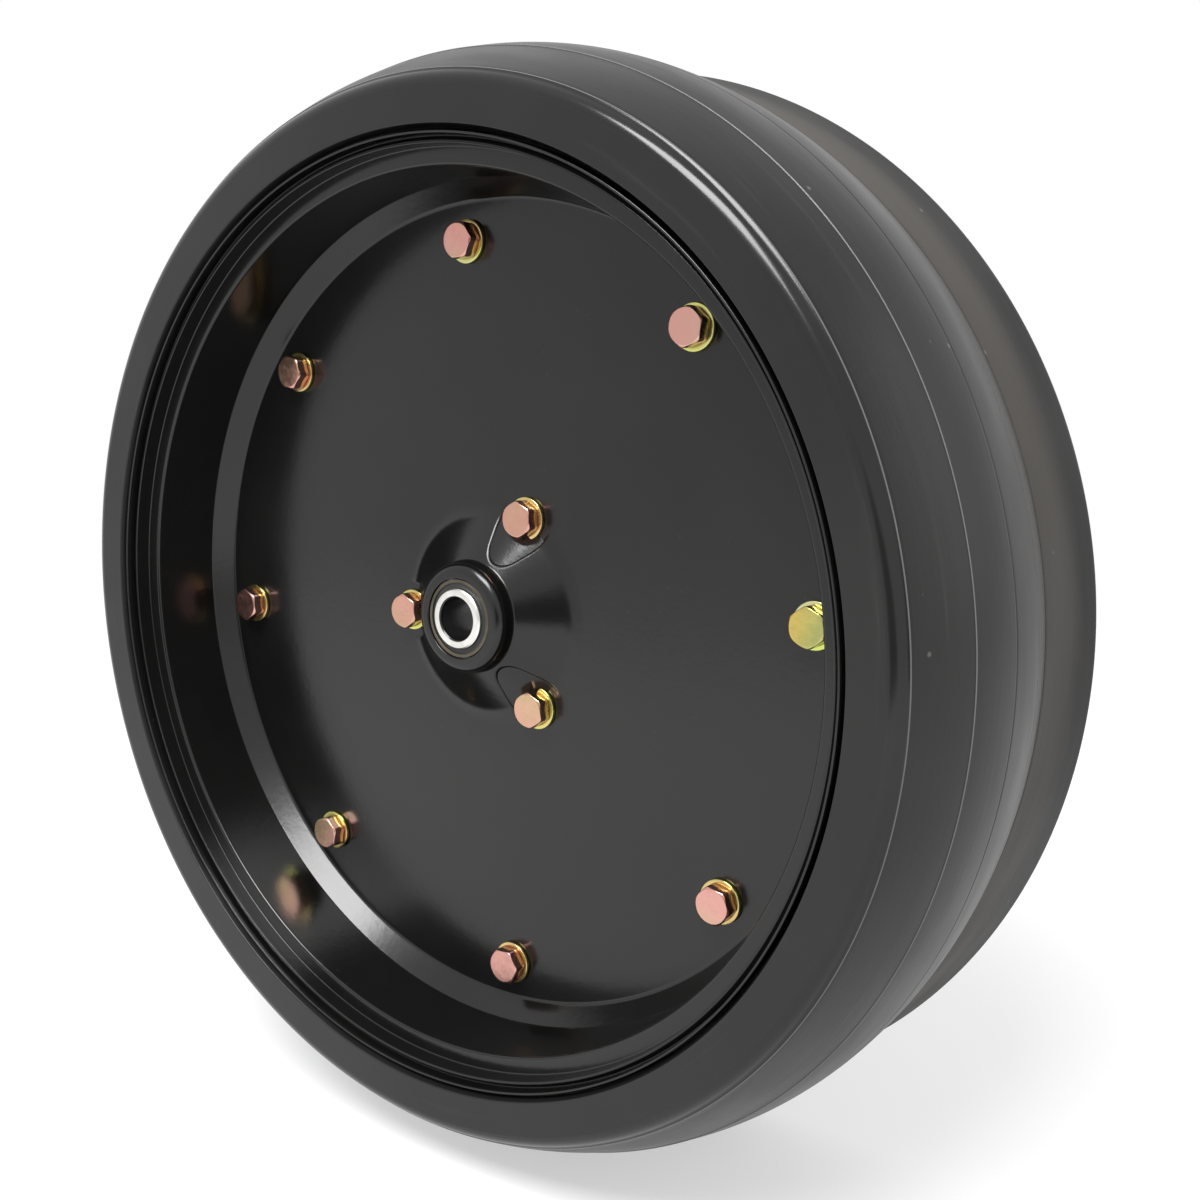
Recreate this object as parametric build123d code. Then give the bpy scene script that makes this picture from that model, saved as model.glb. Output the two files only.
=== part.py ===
"""Gauge wheel for a row-crop planter: a semi-pneumatic tyre clamped between two stamped steel
halves that are bolted back to back, with a sealed double-row bearing held in the hub.

Millimetres. The axle lies along Y, the dished front with the bolt heads faces -Y, +Z is up and
the origin is the middle of the hub bore. A depth is a distance behind the plane of the tyre's
front sidewall. A section is drawn as (radius, y) and turned about the Y axis.
"""
from build123d import *
import os
from math import acos, atan2, cos, hypot, pi, radians, sin, tan

# Tyre
tyre_diameter = 406.4       # over the lip at the back, 16 in
overall_width = 114.3       # front sidewall to the back of the lip, 4.5 in
section_height = 46.4       # lip to the inside of the rim wall
crown_drop = 1.8            # the crown lies so far below the lip
crown_depth = 50.0
shoulder_drop = 20.9        # outer edge of the flat front sidewall, below the lip
shoulder_rise = 4.5         # chamfer between sidewall and tread, across
shoulder_run = 4.2          # and along the axle
valley_drop = 5.6           # crease between the crown and the flared lip
valley_depth = 77.5
lip_round = 5.4
lip_stand = 3.1             # the lip stands behind the rear sidewall
lip_land = 3.4              # flat back of the lip, measured inwards
lip_step = 4.2              # slope from that flat down to the sidewall
base_thickness = 12.0       # rubber between the rim and the air chamber
tread_thickness = 13.0      # rubber over the chamber
side_thickness = 14.0
chamber_round = 4.0
tyre_gap = 0.25             # between the tyre and the steel halves
tyre_edge_round = 0.8
eye_round = 2.6             # edge of the sidewall round the steel rim

# Steel halves
sheet = 3.0
split_depth = 48.0          # joint of the two halves
bevel_run = 6.5             # slope between the web and the rim wall, across
bevel_rise = 7.5            # and along the axle
bevel_foot_round = 2.0
bevel_top_round = 1.0
wall_end_depth = 9.6        # corner where the wall turns into the flange
flange_angle = 41.6
flange_height = 8.2         # front edge of the sheet, above the rim wall
flange_round = 2.0          # bend from the wall to the flange, on the side that shows
flange_inside_round = 0.5   # and on the tyre's side
bead_reach = 0.6            # the rolled bead's middle lies outside the sheet's edge
bead_r = 1.5
ridge_height = 6.6          # small ridge inside the bead, above the rim wall
ridge_r = 1.1
ridge_stand = 0.5           # it stands proud of the flange
corner_round = 1.5

# Hub of the front half
neck_height = 7.5           # straight part of the hub behind its face
cone_foot_r = 39.5
cone_foot_round = 4.0
hub_opening_r = 14.8
neck_corner = 3.6
seat_corner = 0.5
pocket_r = 11.0             # flat floor round the bolt
pocket_nose_r = 5.0         # its inner end
pocket_nose_at = 32.0
pocket_draft = 25.0

# Hub of the rear half
rear_opening_r = 13.5
spigot_r = 17.3             # presses on the bearing's outer ring
spigot_height = 3.1         # forward of the joint of the two halves
spigot_slope = 4.5
spigot_round = 1.0

# Bearing
bore_d = 15.875             # for a 5/8 in bolt
bore_chamfer = 0.5
bearing_d = 35.0
bearing_width = 15.9
bearing_corner = 0.8
inner_ring_r = 11.2
inner_ring_chamfer = 0.6
ring_proud = 0.8            # the inner ring stands proud of the hub at both ends
outer_shoulder_r = 14.7
ball_d = 4.762              # 3/16 in
balls_in_row = 8
ball_circle_r = 13.0
row_offset = 2.9
track_gap = 0.05
cage_inner_r = 11.7
cage_outer_r = 14.2
cage_back = 3.1             # closed edge of the cage, outward of the ball centres
cage_front = 1.0
cage_pocket_gap = 0.1
seal_inset = 0.7
seal_t = 0.8
seal_outer_r = 15.3
seal_web_r = 11.9           # the lip leans outwards from here
seal_lean = 0.4
seal_lip_gap = 0.08
seal_stand = 2.6            # the front seal's disc stands forward of its groove
sleeve_gap = 0.35           # round that disc, in the hub's opening
shield_t = 0.5
shield_inner_r = 13.2
fit_gap = 0.02              # pressed fits and threads

# Fasteners
rim_bolt_count = 8
rim_circle_inset = 20.5     # bolt circle inside the rim wall
rim_first_angle = 3.83
hub_bolt_count = 3
hub_circle_r = 40.35
bolt_d = 8.0
bolt_length = 20.0
bolt_tip = 0.8
hole_d = 8.6
hex_flats = 13.0
hex_chamfer = 0.7
head_h = 5.3
washer_d = 16.0
washer_t = 1.6
nut_h = 8.0
nut_flange_d = 17.9
nut_flange_h = 1.8

# Planes along the axle
hub_face_depth = split_depth - spigot_height - bearing_width - sheet
ring_front_depth = hub_face_depth - ring_proud
ring_rear_depth = split_depth + sheet + ring_proud
bore_depth = (ring_front_depth + ring_rear_depth) / 2


def y_at(depth):
    """Y of a plane that lies so far behind the front sidewall."""
    return depth - bore_depth


front_side_y = y_at(0)
web_y = y_at(split_depth - sheet)
split_y = y_at(split_depth)
rear_web_y = y_at(split_depth + sheet)
hub_face_y = y_at(hub_face_depth)
ring_front_y = y_at(ring_front_depth)
ring_rear_y = y_at(ring_rear_depth)
bearing_front_y = hub_face_y + sheet
bearing_rear_y = bearing_front_y + bearing_width
bearing_mid_y = (bearing_front_y + bearing_rear_y) / 2
cone_top_y = hub_face_y + neck_height
seal_disc_y = bearing_front_y + seal_inset - seal_stand
lip_back_y = y_at(overall_width)
rear_side_y = lip_back_y - lip_stand
head_y = web_y - washer_t

# Radii that follow from others
slope = radians(flange_angle)
lip_r = tyre_diameter / 2
crown_r = lip_r - crown_drop
shoulder_r = lip_r - shoulder_drop
valley_r = lip_r - valley_drop
wall_r = lip_r - section_height
rim_circle_r = wall_r - rim_circle_inset
flange_r = wall_r + flange_height
ridge_at_r = wall_r + ridge_height
bead_at_r = flange_r + bead_reach
eye_r = max(bead_at_r + bead_r, flange_r + sheet * sin(slope)) + tyre_gap
tyre_base_r = wall_r + sheet + tyre_gap
neck_r = bearing_d / 2 + sheet
sleeve_r = hub_opening_r - sleeve_gap
hub_first_angle = rim_first_angle + 180     # a hub bolt lines up with a rim bolt


def mirrored(y):
    """The plane at the back that mirrors one at the front of the tyre."""
    return front_side_y + rear_side_y - y


def flange_y(radius):
    """Y of the front face of the front rim flange at a radius."""
    return y_at(wall_end_depth) - (radius - wall_r) * tan(slope)


def behind_flange_y(radius, distance):
    """Y of a face parallel to the front flange and so far behind it."""
    return flange_y(radius) + distance / cos(slope)


bead_y = flange_y(bead_at_r)
ridge_y = behind_flange_y(ridge_at_r, ridge_r - ridge_stand)


def turn(edges):
    """Solid of revolution about the axle from the edges of a closed section."""
    return revolve(make_face(edges), axis=Axis.Y)


def ring(inner_r, outer_r, y_low, y_high, outer_round=0.0):
    """Plain ring about the axle, with its outer corners rounded if asked."""
    corners = [(inner_r, y_low), (outer_r, y_low), (outer_r, y_high), (inner_r, y_high)]
    path = FilletPolyline(corners, radius=[0, outer_round, outer_round, 0], close=True)
    return turn(path.edges())


def shift_left(points, distance):
    """Corners of a path after each of its runs has moved sideways to the left."""
    lines = []
    for (ax, ay), (bx, by) in zip(points, points[1:]):
        run = hypot(bx - ax, by - ay)
        ux, uy = (bx - ax) / run, (by - ay) / run
        lines.append((ax - uy * distance, ay + ux * distance, ux, uy))
    moved = [lines[0][:2]]
    for (px, py, ux, uy), (qx, qy, vx, vy) in zip(lines, lines[1:]):
        along = ((qx - px) * vy - (qy - py) * vx) / (ux * vy - uy * vx)
        moved.append((px + ux * along, py + uy * along))
    last_x, last_y = points[-1]
    ux, uy = lines[-1][2:]
    moved.append((last_x - uy * distance, last_y + ux * distance))
    return moved


def bent_sheet(points, near_radii, far_radii):
    """Section of a bent sheet: a path and its copy one thickness to the left."""
    shifted = shift_left(points, sheet)
    near = FilletPolyline(points, radius=near_radii)
    far = FilletPolyline(shifted, radius=far_radii)
    ends = Line(points[0], shifted[0]).edges() + Line(points[-1], shifted[-1]).edges()
    return make_face(near.edges() + far.edges() + ends)


def bolt_circle(count, radius, first_angle):
    """Places on a circle about the axle, each with local X outwards and local Z along Y."""
    spots = []
    for index in range(count):
        angle = radians(first_angle) + 2 * pi * index / count
        out = (cos(angle), 0, sin(angle))
        origin = (radius * out[0], 0, radius * out[2])
        spots.append(Plane(origin=origin, x_dir=out, z_dir=(0, 1, 0)).location)
    return spots


# Rounds of the bends from the web to the flange, on the side that shows and behind it
rim_near = [bevel_foot_round, bevel_top_round, flange_round]
rim_far = [bevel_foot_round + sheet, bevel_top_round + sheet, flange_inside_round]

rim_spots = bolt_circle(rim_bolt_count, rim_circle_r, rim_first_angle)
hub_spots = bolt_circle(hub_bolt_count, hub_circle_r, hub_first_angle)


def drilled(half):
    """A half with the holes of both bolt circles."""
    hole = Cylinder(hole_d / 2, 2 * overall_width)
    return half - [spot * hole for spot in rim_spots + hub_spots]


def edge_sections(bead_y, ridge_y):
    """Sections of the rolled bead along a flange's edge and of the small ridge inside it."""
    return [Pos(bead_at_r, bead_y) * Circle(bead_r), Pos(ridge_at_r, ridge_y) * Circle(ridge_r)]


def tyre():
    """Semi-pneumatic tyre: crowned tread, flared lip at the back and a closed air chamber."""
    shoulder_top = (shoulder_r + shoulder_rise, front_side_y + shoulder_run)
    crown = (crown_r, y_at(crown_depth))
    valley = (valley_r, y_at(valley_depth))
    base = (tyre_base_r, (front_side_y + rear_side_y) / 2)
    front = FilletPolyline(
        base,
        (tyre_base_r, behind_flange_y(tyre_base_r, sheet + tyre_gap)),
        (eye_r, behind_flange_y(eye_r, sheet + tyre_gap)),
        (eye_r, front_side_y),
        (shoulder_r, front_side_y),
        shoulder_top,
        radius=[corner_round, 0, eye_round, tyre_edge_round],
    )
    rise = Bezier(shoulder_top, (crown_r, (shoulder_top[1] + crown[1]) / 2), crown)
    fall = Bezier(crown, (crown_r, (crown[1] + valley[1]) / 2), valley)
    round_at = (lip_r - lip_round, lip_back_y - lip_round)
    away = hypot(valley[0] - round_at[0], valley[1] - round_at[1])
    angle = atan2(valley[1] - round_at[1], valley[0] - round_at[0]) + acos(lip_round / away)
    lip = [
        (round_at[0] + lip_round * cos(turned), round_at[1] + lip_round * sin(turned))
        for turned in (angle, (angle + pi / 2) / 2, pi / 2)
    ]
    back = FilletPolyline(
        lip[2],
        (lip[2][0] - lip_land, lip_back_y),
        (lip[2][0] - lip_land - lip_step, rear_side_y),
        (eye_r, rear_side_y),
        (eye_r, mirrored(behind_flange_y(eye_r, sheet + tyre_gap))),
        (tyre_base_r, mirrored(behind_flange_y(tyre_base_r, sheet + tyre_gap))),
        base,
        radius=[2 * tyre_edge_round, 2 * tyre_edge_round, eye_round, 0, corner_round],
    )
    tread = [rise, fall, Line(valley, lip[0]), ThreePointArc(*lip)]
    body = turn(front.edges() + [edge.edge() for edge in tread] + back.edges())
    floor_r = tyre_base_r + base_thickness
    chamber = FilletPolyline(
        (floor_r, front_side_y + side_thickness),
        (shoulder_r, front_side_y + side_thickness),
        (crown_r - tread_thickness, crown[1]),
        (valley_r - tread_thickness, rear_side_y - side_thickness),
        (floor_r, rear_side_y - side_thickness),
        radius=min(chamber_round, (shoulder_r - floor_r) * 0.4),
        close=True,
    )
    return body - turn(chamber.edges())


def pocket(grow, floor_y):
    """Drafted hollow about a hub bolt on the X axis. It is open towards the front and ends
    just in front of the cone, so it leaves the neck whole."""
    top_y = cone_top_y - corner_round
    spread = (floor_y - top_y) * tan(radians(pocket_draft))
    outlines = []
    for extra, y in ((grow, floor_y), (grow + spread, top_y)):
        level = Plane(origin=(0, y, 0), x_dir=(1, 0, 0), z_dir=(0, -1, 0))
        seat = Pos(hub_circle_r, 0) * Circle(pocket_r + extra)
        nose = Pos(pocket_nose_at, 0) * Circle(pocket_nose_r + extra)
        outlines.append(level * make_hull(seat.edges() + nose.edges()))
    return loft(outlines, ruled=True)


def front_half():
    """Front stamping: rim flange, wall, web, and a cone with a neck that grips the bearing.
    Three pockets in the cone seat the hub bolts, one sheet thick like the rest."""
    cone = [(neck_r, cone_top_y), (cone_foot_r, web_y)]
    rim = [
        (wall_r - bevel_run, web_y),
        (wall_r, web_y - bevel_rise),
        (wall_r, y_at(wall_end_depth)),
        (flange_r, flange_y(flange_r)),
    ]
    section = bent_sheet(
        [(hub_opening_r, hub_face_y), (neck_r, hub_face_y)] + cone + rim,
        [neck_corner, corner_round, cone_foot_round] + rim_near,
        [seat_corner, corner_round + sheet, cone_foot_round + sheet] + rim_far,
    )
    half = revolve(section + edge_sections(bead_y, ridge_y), axis=Axis.Y)
    clear_r = neck_r - sheet / 2
    pad_r = hub_circle_r + pocket_r + 2 * sheet
    under_cone = turn(Polyline(
        (clear_r, cone[0][1]), *cone, (pad_r, web_y), (pad_r, split_y), (clear_r, split_y),
        close=True,
    ).edges())
    draft = radians(pocket_draft)
    liner = pocket(sheet * (1 - sin(draft)) / cos(draft), split_y)
    hollow = pocket(0, web_y)
    for index in range(hub_bolt_count):
        spin = Rot(0, -hub_first_angle - 360 / hub_bolt_count * index, 0)
        half = half + (under_cone & (spin * liner)) - spin * hollow
    return drilled(half)


def rear_half():
    """Rear stamping: its middle is pressed forward as a spigot that seats on the bearing."""
    rim = [
        (flange_r, mirrored(flange_y(flange_r))),
        (wall_r, mirrored(y_at(wall_end_depth))),
        (wall_r, rear_web_y + bevel_rise),
        (wall_r - bevel_run, rear_web_y),
    ]
    seat = [
        (rear_opening_r, bearing_rear_y),
        (spigot_r, bearing_rear_y),
        (spigot_r + spigot_slope, split_y),
        (wall_r, split_y),
    ]
    hub = shift_left(seat, sheet)[2::-1]
    section = bent_sheet(
        rim + hub,
        rim_near[::-1] + [spigot_round + sheet, spigot_round],
        rim_far[::-1] + [spigot_round, spigot_round + sheet],
    )
    section += edge_sections(mirrored(bead_y), mirrored(ridge_y))
    return drilled(revolve(section, axis=Axis.Y))


def row_y(side):
    """Plane of a row of balls: side is -1 at the front and 1 at the back."""
    return bearing_mid_y + side * row_offset


def tracks():
    """Both grooves that the balls run in."""
    groove = Circle(ball_d / 2 + track_gap)
    spots = [Pos(ball_circle_r, row_y(side)) for side in (-1, 1)]
    return [revolve(spot * groove, axis=Axis.Y) for spot in spots]


def bearing_inner_ring():
    """Inner ring, long enough to be clamped between the arm and the bolt's head."""
    bore_r = bore_d / 2
    section = Polyline(
        (bore_r, ring_front_y + bore_chamfer),
        (bore_r + bore_chamfer, ring_front_y),
        (inner_ring_r - inner_ring_chamfer, ring_front_y),
        (inner_ring_r, ring_front_y + inner_ring_chamfer),
        (inner_ring_r, ring_rear_y - inner_ring_chamfer),
        (inner_ring_r - inner_ring_chamfer, ring_rear_y),
        (bore_r + bore_chamfer, ring_rear_y),
        (bore_r, ring_rear_y - bore_chamfer),
        close=True,
    )
    return turn(section.edges()) - tracks()


def bearing_outer_ring():
    """Outer ring with both tracks and a groove for each seal."""
    outer_r = bearing_d / 2 - fit_gap
    body = ring(outer_shoulder_r, outer_r, bearing_front_y, bearing_rear_y, bearing_corner)
    grooves = []
    for low in (bearing_front_y + seal_inset, bearing_rear_y - seal_inset - seal_t):
        grooves.append(ring(outer_shoulder_r - fit_gap, seal_outer_r, low, low + seal_t))
    return body - tracks() - grooves


def ball_row(side):
    """Balls of one row."""
    ball = Sphere(ball_d / 2)
    spots = bolt_circle(balls_in_row, ball_circle_r, rim_first_angle)
    return Part() + [Pos(0, row_y(side), 0) * spot * ball for spot in spots]


def cage(side):
    """Moulded crown cage, closed outwards and open towards the other row."""
    edges = sorted((row_y(side) + side * cage_back, row_y(side) - side * cage_front))
    space = Sphere(ball_d / 2 + cage_pocket_gap)
    spots = bolt_circle(balls_in_row, ball_circle_r, rim_first_angle)
    pockets = [Pos(0, row_y(side), 0) * spot * space for spot in spots]
    return ring(cage_inner_r, cage_outer_r, *edges) - pockets


def sealing_disc(side, outer_r, near_y):
    """Disc of a seal, with a lip that leans out to the inner ring."""
    far_y = near_y - side * seal_t
    lip_inner_r = inner_ring_r + seal_lip_gap
    section = Polyline(
        (outer_r, near_y),
        (seal_web_r, near_y),
        (lip_inner_r, near_y + side * seal_lean),
        (lip_inner_r, far_y + side * seal_lean),
        (seal_web_r, far_y),
        (outer_r, far_y),
        close=True,
    )
    return turn(section.edges())


def front_seal():
    """Front seal: a sleeve carries its disc forward from the groove into the hub's opening."""
    groove_y = bearing_front_y + seal_inset
    sleeve = ring(sleeve_r - seal_t, sleeve_r, seal_disc_y, groove_y + seal_t)
    foot = ring(sleeve_r - seal_t, seal_outer_r - fit_gap, groove_y, groove_y + seal_t)
    return sealing_disc(-1, sleeve_r, seal_disc_y) + sleeve + foot


def rear_seal():
    """Rear seal: a plain disc in the outer ring's groove."""
    return sealing_disc(1, seal_outer_r - fit_gap, bearing_rear_y - seal_inset)


def front_shield():
    """Steel washer on the front seal's disc."""
    return ring(shield_inner_r, sleeve_r, seal_disc_y - shield_t, seal_disc_y)


def rear_shield():
    """Steel washer that guards the rear seal, pressed into the end of the outer ring."""
    low = bearing_rear_y - seal_inset
    return ring(shield_inner_r, outer_shoulder_r - fit_gap, low, low + shield_t)


def hexagon(height):
    """Hexagon from local z 0 up, with the corners of its top turned off."""
    corner_r = hex_flats / 2 / cos(pi / 6)
    prism = extrude(RegularPolygon(hex_flats / 2, 6, major_radius=False), height)
    blank = Pos(0, 0, height / 2) * Cylinder(corner_r, height)
    rim = blank.edges().filter_by(GeomType.CIRCLE).sort_by(Axis.Z)[-1]
    return prism & chamfer(rim, hex_chamfer, corner_r - hex_flats / 2 + hex_chamfer)


def bolt():
    """Hex-head bolt with its head against the front washer."""
    head = Pos(0, 0, head_y) * Rot(180, 0, 0) * hexagon(head_h)
    shank = Pos(0, 0, head_y + bolt_length / 2) * Cylinder(bolt_d / 2, bolt_length)
    tip = shank.edges().filter_by(GeomType.CIRCLE).sort_by(Axis.Z)[-1]
    return head + chamfer(tip, bolt_tip)


def washer():
    """Flat washer between a bolt's head and the front half."""
    blank = Cylinder(washer_d / 2, washer_t) - Cylinder(hole_d / 2, washer_t)
    return Pos(0, 0, web_y - washer_t / 2) * blank


def nut():
    """Flange nut against the rear half."""
    flange = Pos(0, 0, nut_flange_h / 2) * Cylinder(nut_flange_d / 2, nut_flange_h)
    body = flange + hexagon(nut_h)
    bore = Cylinder(bolt_d / 2 + fit_gap, 4 * nut_h)
    return Pos(0, 0, rear_web_y) * (body - bore)


def group(piece, spots):
    """The same fastener at every place of a bolt circle."""
    return Part() + [spot * piece for spot in spots]


parts = {
    "tyre": tyre(),
    "front_half": front_half(),
    "rear_half": rear_half(),
    "rim_bolts": group(bolt(), rim_spots),
    "rim_washers": group(washer(), rim_spots),
    "rim_nuts": group(nut(), rim_spots),
    "hub_bolts": group(bolt(), hub_spots),
    "hub_washers": group(washer(), hub_spots),
    "hub_nuts": group(nut(), hub_spots),
    "bearing_inner_ring": bearing_inner_ring(),
    "bearing_outer_ring": bearing_outer_ring(),
    "front_balls": ball_row(-1),
    "rear_balls": ball_row(1),
    "front_cage": cage(-1),
    "rear_cage": cage(1),
    "front_seal": front_seal(),
    "rear_seal": rear_seal(),
    "front_shield": front_shield(),
    "rear_shield": rear_shield(),
}

os.makedirs("parts", exist_ok=True)
for name, shape in parts.items():
    export_step(shape, f"parts/{name}.step")
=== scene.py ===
"""Looks of the gauge wheel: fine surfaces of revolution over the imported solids, with materials.

Sections are drawn in millimetres as (radius, y), y along the axle, counterclockwise round the
material, so that every surface faces outwards.
"""
from math import acos, atan2, cos, hypot, pi, radians, sin, tan

import bpy
import numpy as np
from mathutils import Matrix, Vector


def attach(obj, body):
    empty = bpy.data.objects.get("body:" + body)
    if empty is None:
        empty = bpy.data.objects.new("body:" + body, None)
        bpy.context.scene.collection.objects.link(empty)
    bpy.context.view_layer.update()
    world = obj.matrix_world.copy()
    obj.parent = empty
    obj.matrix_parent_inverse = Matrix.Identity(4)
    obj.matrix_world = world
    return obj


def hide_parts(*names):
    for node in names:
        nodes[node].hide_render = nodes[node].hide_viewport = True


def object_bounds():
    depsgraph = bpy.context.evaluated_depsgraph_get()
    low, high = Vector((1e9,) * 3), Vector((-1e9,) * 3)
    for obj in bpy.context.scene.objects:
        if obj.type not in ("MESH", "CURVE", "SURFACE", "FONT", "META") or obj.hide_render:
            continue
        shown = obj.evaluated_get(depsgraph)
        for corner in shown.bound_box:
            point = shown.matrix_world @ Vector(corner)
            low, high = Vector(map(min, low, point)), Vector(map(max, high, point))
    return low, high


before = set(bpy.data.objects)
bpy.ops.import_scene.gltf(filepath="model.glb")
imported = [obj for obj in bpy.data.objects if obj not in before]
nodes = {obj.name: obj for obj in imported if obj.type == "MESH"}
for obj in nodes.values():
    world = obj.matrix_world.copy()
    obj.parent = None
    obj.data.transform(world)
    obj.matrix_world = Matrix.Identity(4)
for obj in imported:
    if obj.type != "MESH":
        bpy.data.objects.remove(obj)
cad_low, cad_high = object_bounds()
MM = 0.001

# Camera of the photograph, solved from its circles
camera_data = bpy.data.cameras.new("camera")
camera_data.lens = 40.5
camera_data.sensor_width = 36.0
camera_data.clip_end = 60.0
camera = bpy.data.objects.new("camera", camera_data)
bpy.context.scene.collection.objects.link(camera)
right = Vector((0.8001, 0.5998, 0.0)).normalized()
back = -Vector((-0.5928, 0.7907, -0.1526)).normalized()
up = back.cross(right)
turn = Matrix((right, up, back)).transposed().to_4x4()
camera.matrix_world = Matrix.Translation((0.33287, -0.36981, 0.08193)) @ turn
bpy.context.scene.camera = camera

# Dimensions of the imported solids
BORE_DEPTH = 38.5
TYRE = dict(lip_r=203.2, crown=(201.4, 50.0), shoulder=(182.3, 4.5, 4.2), valley=(197.6, 77.5),
            back=114.3, lip_round=5.4, lip_stand=3.1, lip_land=3.4, lip_step=4.2,
            base_r=160.05, eye_r=167.35, eye_round=2.6, gap=0.25)
EYE_MOUTH_R, EYE_MOUTH_DEPTH = 168.8, 5.0   # the tyre's eye stands off the steel in front
SHOULDER_START, SHOULDER_ROUND = 183.2, 5.5
MOULD_LINES = ((24.0, 0.32, 0.24), (43.6, -0.14, 0.4), (63.5, -0.10, 0.6))  # depth, height, width
EDGE_LINE_Y = -34.75                # raised line on the shoulder's outer edge
SHEET, WEB_DEPTH, HUB_DEPTH = 3.0, 45.0, 26.0
BEVEL_FOOT_R, WALL_R, BEVEL_RISE = 150.3, 156.8, 7.5
BEVEL_BACK_R = 151.6                # foot of the slope on the side of the joint
STEP_R, STEP_DEPTH = 163.0, 10.0
GROOVE_DEPTH = 3.8                  # floor of the groove between the two folds
EDGE_R, EDGE_DEPTH = 166.7, 1.1     # hemmed edge of each half
FOLD_DEPTH = 8.6                    # back of the fold, against the tyre
NECK_R, NECK_HEIGHT, HOUSING_R, OPENING_R = 20.5, 7.5, 17.5, 14.8
CONE_FOOT_R, CONE_FOOT_ROUND = 39.5, 14.0
REAR_OPENING_R, SPIGOT_R, SPIGOT_Y = 13.5, 17.3, 6.4
BORE_R, RING_R, RING_Y = 7.9375, 11.2, 13.3
SLEEVE_R, SEAL_T, SHIELD_IN_R = 14.45, 0.8, 13.2
FIRST_ANGLE, RIM_CIRCLE_R, HUB_CIRCLE_R = 3.83, 136.3, 40.35
RIM_BOLTS, HUB_BOLTS = 8, 3
BOLT_R, BOLT_LENGTH, THREAD_START = 4.0, 20.0, 10.0
PITCH, THREAD_STEP = 1.25, 0.156     # an eighth of the pitch, about
HEAD_H, HEAD_FLATS, WASHER_T = 5.3, 12.4, 1.6
NUT_H, NUT_FLATS, NUT_BORE_R = 8.0, 13.0, 4.02


def y_at(depth):
    """Y of a plane so far behind the front sidewall."""
    return depth - BORE_DEPTH


FRONT_Y, REAR_Y = y_at(0.0), y_at(TYRE["back"] - TYRE["lip_stand"])
BOTH_SIDES = FRONT_Y + REAR_Y
WEB_Y, SPLIT_Y, REAR_WEB_Y = (y_at(WEB_DEPTH + k * SHEET) for k in range(3))
HUB_Y = y_at(HUB_DEPTH)


# Sections
def rounded(corners, radii, step=5.0, support=0.3):
    """Closed section with round corners. Two runs that turn by an angle t take an arc of radius R
    whose ends lie R tan(t / 2) from their corner, and a support point beside each end."""
    corners = [np.array(c, float) for c in corners]
    made = []
    for k, corner in enumerate(corners):
        before, after = corners[k - 1], corners[(k + 1) % len(corners)]
        u, v = corner - before, after - corner
        long_u, long_v = np.hypot(*u), np.hypot(*v)
        u, v = u / long_u, v / long_v
        side = u[0] * v[1] - u[1] * v[0]
        t = atan2(side, float(u @ v))
        radius = radii[k] if isinstance(radii, (list, tuple)) else radii
        if radius <= 0 or abs(t) < 1e-4:
            made.append(corner)
            continue
        reach = radius * tan(abs(t) / 2)
        normal = np.array([-u[1], u[0]]) * (1 if t > 0 else -1)
        centre = corner - u * reach + normal * radius
        held = min(support, max(0.02, long_u / 2 - reach))
        made.append(corner - u * (reach + held))
        count = max(2, int(np.ceil(abs(t) / radians(step))))
        start = -normal
        for a in np.linspace(0.0, t, count + 1):
            c, s = cos(a), sin(a)
            made.append(centre + radius * np.array([c * start[0] - s * start[1],
                                                    s * start[0] + c * start[1]]))
        held = min(support, max(0.02, long_v / 2 - reach))
        made.append(corner + v * (reach + held))
    return np.array(made)


def bezier(a, b, c, count):
    """Points of the curve (1-t)^2 a + 2 t (1-t) b + t^2 c, without its first."""
    t = np.linspace(0, 1, count + 1)[1:, None]
    a, b, c = (np.array(p, float) for p in (a, b, c))
    return (1 - t) ** 2 * a + 2 * t * (1 - t) * b + t ** 2 * c


# Meshes
def solid(name, points, faces, material, body, replaces):
    """A piece from arrays of points in mm and faces, riding on a body."""
    mesh = bpy.data.meshes.new(name)
    mesh.from_pydata((points * MM).tolist(), [], faces.tolist())
    mesh.polygons.foreach_set("use_smooth", [True] * len(mesh.polygons))
    mesh.materials.append(material)
    mesh.update()
    piece = bpy.data.objects.new(name, mesh)
    bpy.context.scene.collection.objects.link(piece)
    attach(piece, body)
    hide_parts(replaces)


def grid_faces(rows, columns, closed=True):
    """Quads between rows of a grid whose columns close on themselves, and whose rows may."""
    i = np.arange(rows if closed else rows - 1)[:, None]
    j = np.arange(columns)[None, :]
    i2, j2 = (i + 1) % rows, (j + 1) % columns
    quads = np.stack([i * columns + j, i2 * columns + j, i2 * columns + j2, i * columns + j2], -1)
    return quads.reshape(-1, 4)


def revolved(section, segments):
    """Points (r cos a, y, r sin a) of a section turned about the axle."""
    a = np.arange(segments) * 2 * pi / segments
    r, y = section[:, 0:1], section[:, 1:2]
    return np.stack([r * np.cos(a), y + 0 * a, r * np.sin(a)], -1)


def lathe(name, section, material, body, replaces, segments=256):
    """A closed section turned about the axle."""
    points = revolved(section, segments).reshape(-1, 3)
    faces = grid_faces(len(section), segments)
    solid(name, points, faces, material, body, replaces)


# Material helpers
def group(name, inputs, outputs):
    """A shader node group with float and vector sockets."""
    tree = bpy.data.node_groups.new(name, "ShaderNodeTree")
    kinds = {"f": "NodeSocketFloat", "v": "NodeSocketVector"}
    for label, kind in inputs:
        tree.interface.new_socket(label, in_out="INPUT", socket_type=kinds[kind])
    for label, kind in outputs:
        tree.interface.new_socket(label, in_out="OUTPUT", socket_type=kinds[kind])
    inside, outside = tree.nodes.new("NodeGroupInput"), tree.nodes.new("NodeGroupOutput")
    return tree, inside.outputs, outside.inputs


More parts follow.
